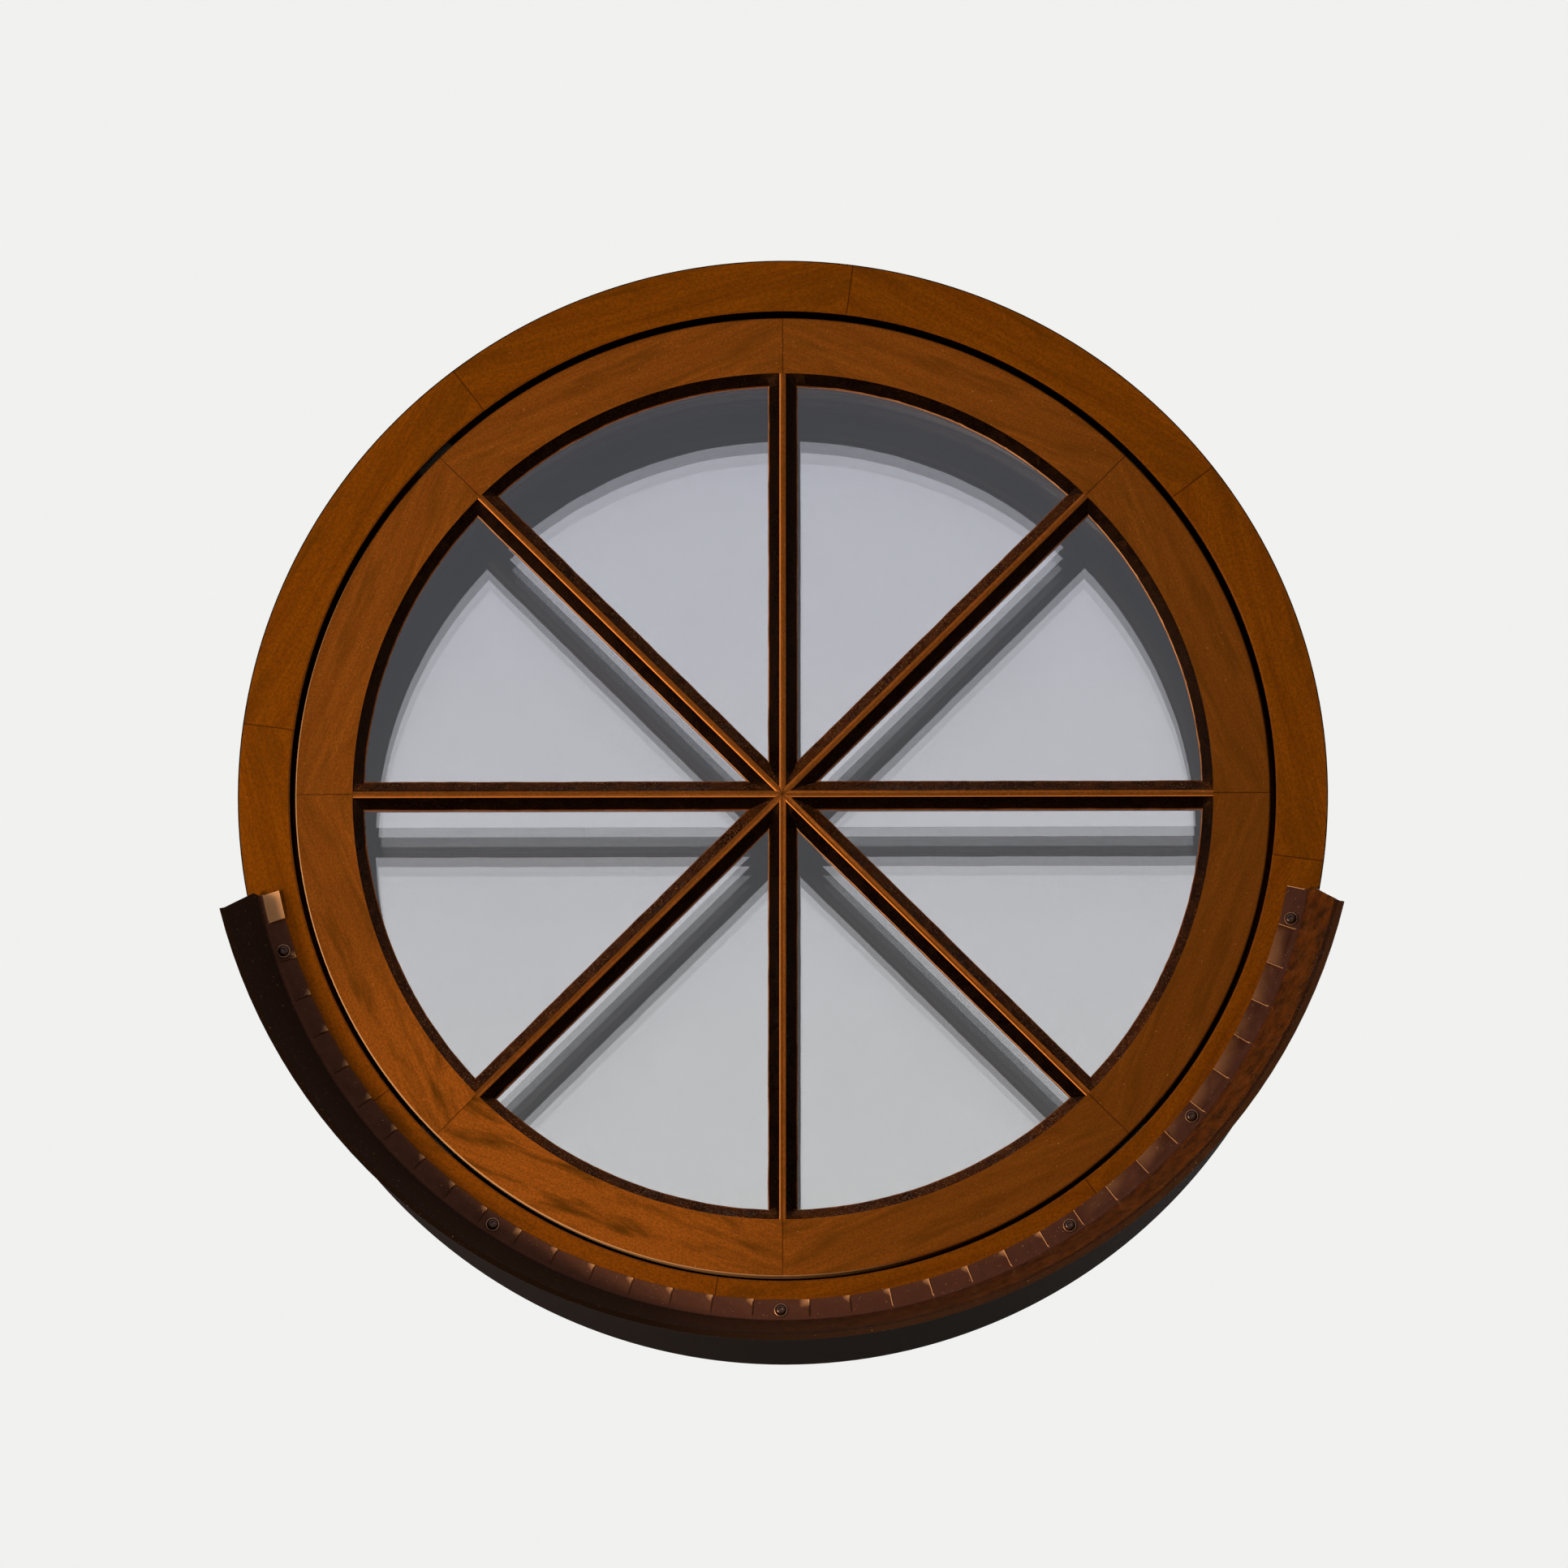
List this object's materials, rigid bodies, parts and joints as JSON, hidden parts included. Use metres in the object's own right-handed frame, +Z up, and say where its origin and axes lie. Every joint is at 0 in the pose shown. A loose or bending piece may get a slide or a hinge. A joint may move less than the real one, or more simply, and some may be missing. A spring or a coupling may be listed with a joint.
{
  "type": "oculus window",
  "caption": "Round fixed timber window with radial glazing bars meeting at a hub, puttied panes, a sealed inner unit and a tabbed sheet-metal sill flashing.",
  "frame": {"origin": "on the axis of the frame ring's outer cylinder, halfway through its depth", "axes": "+Z up, +Y through the wall towards the room, so the outdoor face looks along -Y, +X to the right seen from outdoors"},
  "size_m": [0.8151, 0.27, 0.8199],
  "materials": {
    "frame_timber": "olive-brown brushed paint, satin",
    "sash_timber": "red-brown brushed paint, satin",
    "bar_timber": "red-brown gloss paint",
    "bead_timber": "brown paint, satin",
    "putty": "hand-run linseed putty, near-black brown paint",
    "outer_glass": "clear float glass",
    "unit_glass": "coated float glass",
    "spacer_aluminium": "mill finish",
    "edge_sealant": "matt",
    "foam_tape": "matt closed-cell foam",
    "block_plastic": "moulded",
    "seal_rubber": "matt extruded",
    "zinc_steel": "zinc plated",
    "coated_sheet": "dark brown coil-coated sheet, dusty",
    "coated_steel": "brown coated, worn on the drive recess"
  },
  "bodies": {
    "root": {"frame_segment_1": "frame_timber", "sash_segment_1": "sash_timber", "glazing_bar_1": "bar_timber", "pane_1": "outer_glass", "putty_1": "putty", "frame_segment_2": "frame_timber", "sash_segment_2": "sash_timber", "glazing_bar_2": "bar_timber", "pane_2": "outer_glass", "putty_2": "putty", "frame_segment_3": "frame_timber", "sash_segment_3": "sash_timber", "glazing_bar_3": "bar_timber", "pane_3": "outer_glass", "putty_3": "putty", "frame_segment_4": "frame_timber", "sash_segment_4": "sash_timber", "glazing_bar_4": "bar_timber", "pane_4": "outer_glass", "putty_4": "putty", "frame_segment_5": "frame_timber", "sash_segment_5": "sash_timber", "glazing_bar_5": "bar_timber", "pane_5": "outer_glass", "putty_5": "putty", "frame_segment_6": "frame_timber", "sash_segment_6": "sash_timber", "glazing_bar_6": "bar_timber", "pane_6": "outer_glass", "putty_6": "putty", "frame_segment_7": "frame_timber", "sash_segment_7": "sash_timber", "glazing_bar_7": "bar_timber", "pane_7": "outer_glass", "putty_7": "putty", "frame_segment_8": "frame_timber", "sash_segment_8": "sash_timber", "glazing_bar_8": "bar_timber", "pane_8": "outer_glass", "putty_8": "putty", "glazing_bead_1": "bead_timber", "glazing_bead_2": "bead_timber", "glazing_bead_3": "bead_timber", "glazing_bead_4": "bead_timber", "unit_outer_pane": "unit_glass", "unit_middle_pane": "unit_glass", "unit_inner_pane": "unit_glass", "unit_outer_spacer": "spacer_aluminium", "unit_inner_spacer": "spacer_aluminium", "unit_edge_seal": "edge_sealant", "bedding_tape": "foam_tape", "setting_blocks": "block_plastic", "sash_packers": "block_plastic", "sash_seal": "seal_rubber", "sash_screws": "zinc_steel", "glazing_points": "zinc_steel", "bead_pins": "zinc_steel", "sill_flashing": "coated_sheet", "flashing_screws": "coated_steel"}
  },
  "joints": []
}
